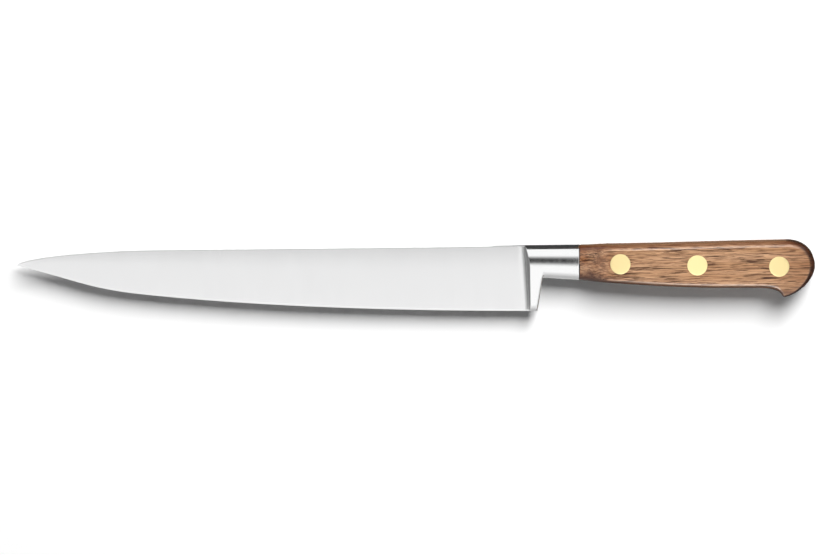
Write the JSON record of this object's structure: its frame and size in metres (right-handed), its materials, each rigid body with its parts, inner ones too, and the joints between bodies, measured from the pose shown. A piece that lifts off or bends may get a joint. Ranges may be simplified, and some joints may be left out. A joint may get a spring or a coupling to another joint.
{
  "type": "fillet knife",
  "caption": "Fixed kitchen knife with a slim pointed forged blade, a full guard and collar, a full tang and flat-sided walnut scales held by flush brass rivets.",
  "frame": {"origin": "middle of the knife's length and height, on the outer flat of the right scale, on which the knife lies", "axes": "+X from the tip to the butt, +Y from the cutting edge to the spine, +Z out of the left scale"},
  "size_m": [0.312, 0.0276, 0.015],
  "materials": {
    "blade_steel": "satin ground blade faces, polished guard and collar",
    "walnut": "oiled walnut with fine dark pores, satin",
    "brass": "ground flush with the wood, pale satin"
  },
  "bodies": {
    "root": {"blade": "blade_steel", "left_scale": "walnut", "right_scale": "walnut", "front_rivet_sleeve": "brass", "front_rivet_pin": "brass", "middle_rivet_sleeve": "brass", "middle_rivet_pin": "brass", "rear_rivet_sleeve": "brass", "rear_rivet_pin": "brass"}
  },
  "joints": []
}
